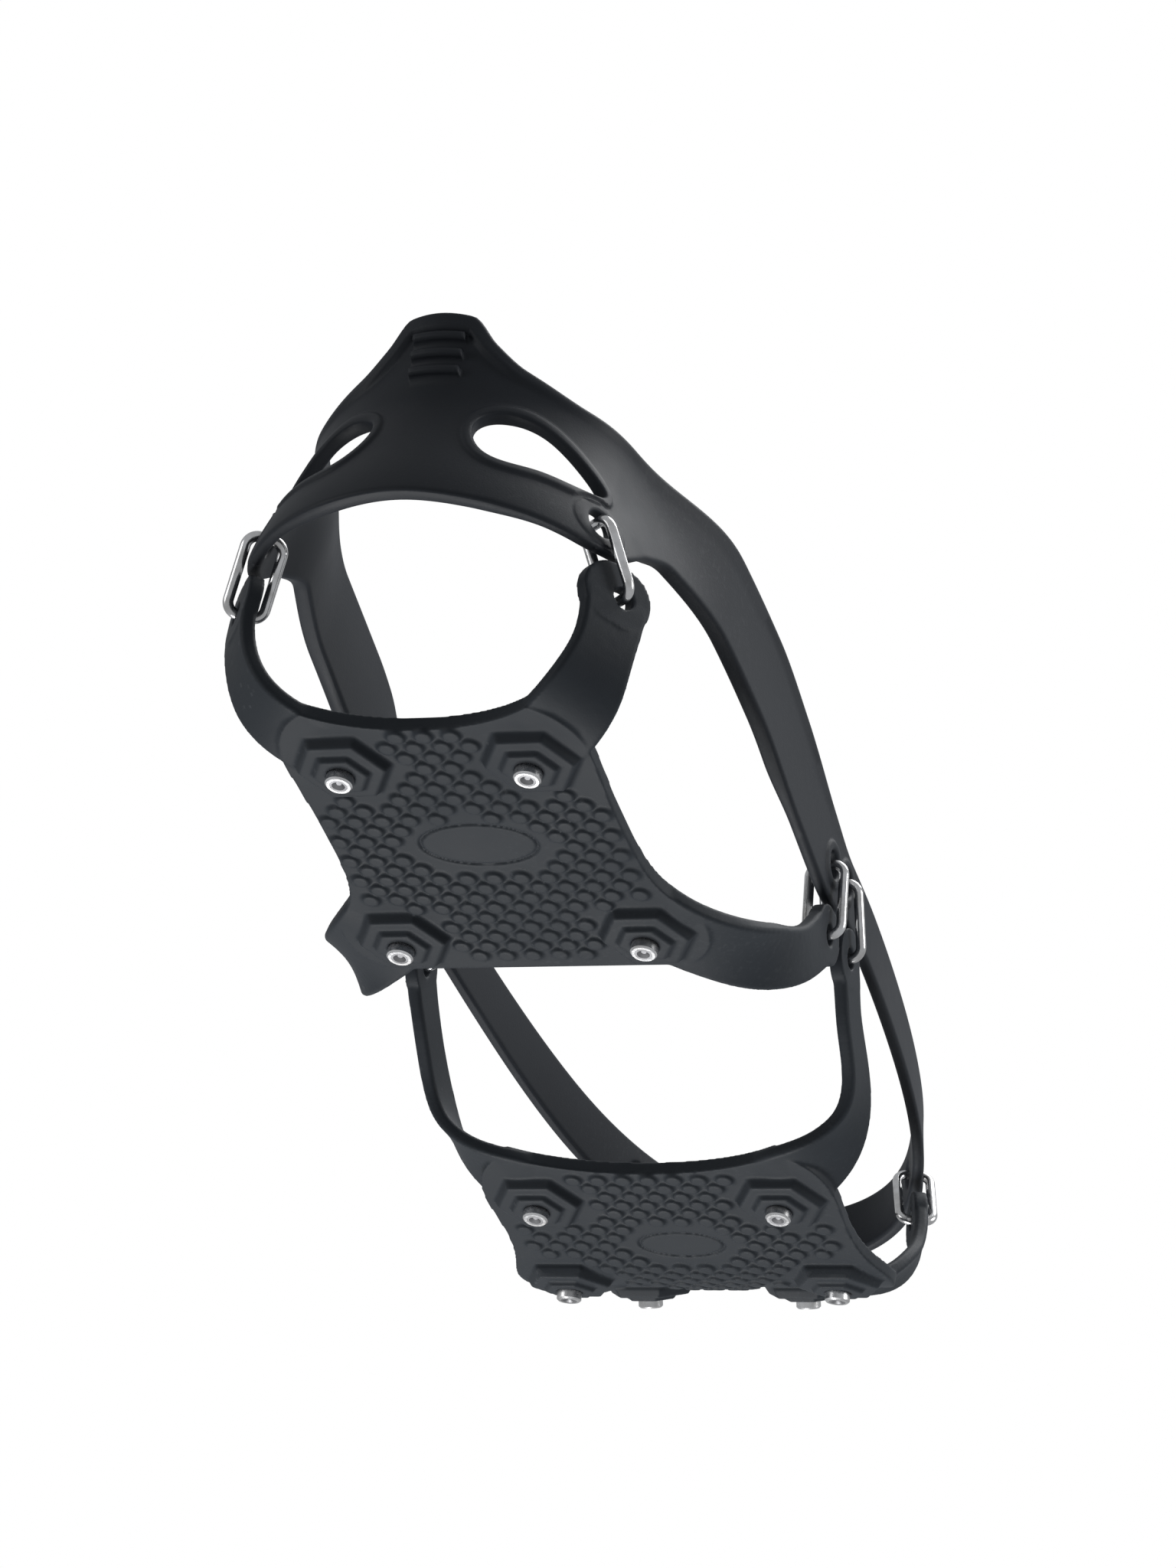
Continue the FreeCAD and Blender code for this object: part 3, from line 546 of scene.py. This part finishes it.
def rubber(name, dark, light, worn, low_rough, high_rough):
    """Moulded elastomer: mottled colour, paler scuffed edges, uneven gloss and a fine skin."""
    material, tree, shader, place = new_material(name)
    cloud = noise(tree, place, 38, 4, 0.6)
    speckle = noise(tree, place, 900, 2)
    mottled = mix_colours(tree, remap(tree, cloud, 0.32, 0.68, 0, 1), dark, light)
    dust = remap(tree, speckle, 0.55, 0.75, 0, 0.35)
    dusty_places = remap(tree, noise(tree, place, 14, 3), 0.45, 0.7, 0, 1)
    dusted = mix_colours(tree, math_node(tree, "MULTIPLY", dust, dusty_places), mottled, worn)
    patches = remap(tree, noise(tree, place, 160, 3), 0.4, 0.7, 0.1, 0.7)
    scuff = math_node(tree, "MULTIPLY", edge_share(tree), patches)
    tree.links.new(mix_colours(tree, scuff, dusted, worn), shader.inputs["Base Color"])
    tree.links.new(remap(tree, cloud, 0.3, 0.7, low_rough, high_rough), shader.inputs["Roughness"])
    shader.inputs["Specular IOR Level"].default_value = 0.22
    grain = math_node(tree, "MULTIPLY", noise(tree, place, 2600, 2), 0.6)
    ripple = math_node(tree, "MULTIPLY", noise(tree, place, 420, 2), 0.4)
    bump(tree, shader, math_node(tree, "ADD", grain, ripple), distance=0.00006, strength=0.55)
    return material


def metal(name, dark, light, low_rough, high_rough, stretch, grain):
    """Worn metal: drawn or turned marks, stains and uneven gloss."""
    material, tree, shader, place = new_material(name)
    mapping = tree.nodes.new("ShaderNodeMapping")
    mapping.inputs["Scale"].default_value = stretch
    tree.links.new(place, mapping.inputs["Vector"])
    marks = noise(tree, mapping.outputs["Vector"], grain, 3, 0.6)
    stain = noise(tree, place, 260, 3)
    shader.inputs["Metallic"].default_value = 1.0
    stained = mix_colours(tree, remap(tree, stain, 0.4, 0.75, 0, 1), light, dark)
    tree.links.new(stained, shader.inputs["Base Color"])
    fine_wear = math_node(tree, "MULTIPLY", marks, 0.6)
    broad_wear = math_node(tree, "MULTIPLY", stain, 0.4)
    wear = math_node(tree, "ADD", fine_wear, broad_wear)
    tree.links.new(remap(tree, wear, 0.35, 0.65, low_rough, high_rough), shader.inputs["Roughness"])
    bump(tree, shader, marks, distance=0.00002, strength=0.15)
    return material


harness_rubber = rubber("harness_rubber", dark=(0.020, 0.0235, 0.030), light=(0.028, 0.032, 0.039),
                        worn=(0.07, 0.075, 0.084), low_rough=0.46, high_rough=0.6)
plate_rubber = rubber("plate_rubber", dark=(0.024, 0.029, 0.036), light=(0.033, 0.039, 0.047),
                      worn=(0.08, 0.087, 0.097), low_rough=0.5, high_rough=0.64)
link_wire = metal("link_wire", dark=(0.50, 0.49, 0.48), light=(0.78, 0.78, 0.79),
                  low_rough=0.12, high_rough=0.3, stretch=(1, 1, 0.25), grain=900)
stud_steel = metal("stud_steel", dark=(0.55, 0.54, 0.53), light=(0.82, 0.82, 0.83),
                   low_rough=0.2, high_rough=0.38, stretch=(1, 1, 1), grain=1400)
pin_carbide = metal("pin_carbide", dark=(0.16, 0.16, 0.165), light=(0.34, 0.34, 0.35),
                    low_rough=0.32, high_rough=0.55, stretch=(1, 1, 1), grain=3000)


# ---------------------------------------------------------------- pieces
def add_piece(name, mesh, material):
    """Object for a finished mesh, with its material in its slot."""
    piece = bpy.data.objects.new(name, mesh)
    bpy.context.scene.collection.objects.link(piece)
    mesh.materials.clear()
    mesh.materials.append(material)
    return piece


def softened(node, voxel, rounds):
    """Copy of a CAD node's mesh with the small round edges of a rubber moulding."""
    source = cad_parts[node]
    work = bpy.data.objects.new("work_" + node, source.data.copy())
    bpy.context.scene.collection.objects.link(work)
    remesh = work.modifiers.new("remesh", "REMESH")
    remesh.mode = "VOXEL"
    remesh.voxel_size = voxel
    smooth = work.modifiers.new("smooth", "SMOOTH")
    smooth.factor = 0.5
    smooth.iterations = rounds
    graph = bpy.context.evaluated_depsgraph_get()
    mesh = bpy.data.meshes.new_from_object(work.evaluated_get(graph))
    bpy.data.objects.remove(work)
    for polygon in mesh.polygons:
        polygon.use_smooth = True
    return mesh


harness = add_piece("harness", harness_mesh(), harness_rubber)
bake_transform(harness)
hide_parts("harness_heel", "harness_toe")

for node, body in (("heel_plate", "heel_unit"), ("forefoot_plate", "forefoot_unit")):
    plate_mesh = softened(node, PLATE_VOXEL, PLATE_ROUNDS)
    plate = add_piece(node + "_moulding", plate_mesh, plate_rubber)
    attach(plate, body)
    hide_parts(node)

for name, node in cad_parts.items():
    for prefix, material in (("link_", link_wire), ("stud_", stud_steel), ("pin_", pin_carbide)):
        if name.startswith(prefix):
            node.data.materials.clear()
            node.data.materials.append(material)


# ---------------------------------------------------------------- stage
def floor_material():
    """Pale floor that is seen from above only; most of its brightness is its own."""
    material, tree, shader, _ = new_material("pale_floor")
    shader.inputs["Base Color"].default_value = (0.4, 0.4, 0.4, 1)
    shader.inputs["Roughness"].default_value = 0.9
    shader.inputs["Specular IOR Level"].default_value = 0.0
    shader.inputs["Emission Color"].default_value = (1, 1, 1, 1)
    shader.inputs["Emission Strength"].default_value = 0.55
    output = tree.nodes["Material Output"]
    clear = tree.nodes.new("ShaderNodeBsdfTransparent")
    geometry = tree.nodes.new("ShaderNodeNewGeometry")
    choose = tree.nodes.new("ShaderNodeMixShader")
    tree.links.new(geometry.outputs["Backfacing"], choose.inputs[0])
    tree.links.new(shader.outputs[0], choose.inputs[1])
    tree.links.new(clear.outputs[0], choose.inputs[2])
    tree.links.new(choose.outputs[0], output.inputs["Surface"])
    return material


def make_floor():
    """Large floor just under the studs; it neither lights nor shades the object."""
    corners = [(x * FLOOR_HALF, y * FLOOR_HALF, 0) for x, y in ((-1, -1), (1, -1), (1, 1), (-1, 1))]
    mesh = bpy.data.meshes.new("floor")
    mesh.from_pydata(corners, [], [(0, 1, 2, 3)])
    floor = bpy.data.objects.new("floor", mesh)
    bpy.context.scene.collection.objects.link(floor)
    floor.location = (0, 0, FLOOR_HEIGHT)
    mesh.materials.append(floor_material())
    floor.visible_diffuse = False
    floor.visible_glossy = False
    floor.visible_transmission = False
    floor.visible_shadow = False


def area_light(name, place, target, size, power):
    """Soft square light that faces a point and isn't seen itself."""
    data = bpy.data.lights.new(name, "AREA")
    data.shape = "SQUARE"
    data.size = size
    data.energy = power
    light = bpy.data.objects.new(name, data)
    bpy.context.scene.collection.objects.link(light)
    light.location = place
    light.rotation_mode = "QUATERNION"
    light.rotation_quaternion = (Vector(target) - Vector(place)).to_track_quat("-Z", "Y")
    light.visible_camera = False


def make_world():
    """White backdrop that lights the object more gently than it looks."""
    world = bpy.data.worlds.new("studio")
    bpy.context.scene.world = world
    world.use_nodes = True
    tree = world.node_tree
    tree.nodes.clear()
    output = tree.nodes.new("ShaderNodeOutputWorld")
    seen = tree.nodes.new("ShaderNodeBackground")
    seen.inputs["Color"].default_value = (1, 1, 1, 1)
    glow = tree.nodes.new("ShaderNodeBackground")
    glow.inputs["Color"].default_value = (0.96, 0.98, 1.0, 1)
    path = tree.nodes.new("ShaderNodeLightPath")
    strength = remap(tree, path.outputs["Is Glossy Ray"], low=0, high=1, to_low=0.1, to_high=0.42)
    tree.links.new(strength, glow.inputs["Strength"])
    choose = tree.nodes.new("ShaderNodeMixShader")
    tree.links.new(path.outputs["Is Camera Ray"], choose.inputs[0])
    tree.links.new(glow.outputs[0], choose.inputs[1])
    tree.links.new(seen.outputs[0], choose.inputs[2])
    tree.links.new(choose.outputs[0], output.inputs["Surface"])


def make_camera():
    """Camera behind and below the heel, looking up at the treads."""
    azimuth = math.radians(23.18)
    elevation = math.radians(-34.26)
    roll = math.radians(11.93)
    back = Vector((math.sin(azimuth) * math.cos(elevation), -math.cos(azimuth) * math.cos(elevation),
                   math.sin(elevation)))
    level_right = (-back).cross(Vector((0, 0, 1))).normalized()
    level_up = level_right.cross(-back)
    right = level_right * math.cos(roll) + level_up * math.sin(roll)
    up = level_up * math.cos(roll) - level_right * math.sin(roll)
    data = bpy.data.cameras.new("camera")
    data.lens = 121.66
    data.sensor_width = 36.0
    data.clip_start = 0.01
    data.clip_end = 100
    camera = bpy.data.objects.new("camera", data)
    bpy.context.scene.collection.objects.link(camera)
    place = Vector((0.3530, -0.8544, -0.5577))
    turn = Matrix((right, up, back)).transposed().to_4x4()
    camera.matrix_world = Matrix.Translation(place) @ turn
    bpy.context.scene.camera = camera


# Each light: name, place, point that it faces, size, power
LIGHTS = [
    ("key_below", (-0.35, 0.6, -1.2), (0, 0, 0.02), 0.7, 14),
    ("fill_behind", (-1.1, -1.0, -0.1), (0, 0, 0.03), 0.7, 3.5),
    ("top_soft", (0.5, 0.3, 1.5), (0, 0, 0.02), 1.0, 14),
    ("rim_side", (1.5, 0.1, 0.4), (0, 0, 0.04), 0.6, 9),
]

make_floor()
make_world()
for light in LIGHTS:
    area_light(*light)
make_camera()
bpy.context.scene.view_settings.view_transform = "Standard"
bpy.context.scene.view_settings.look = "None"
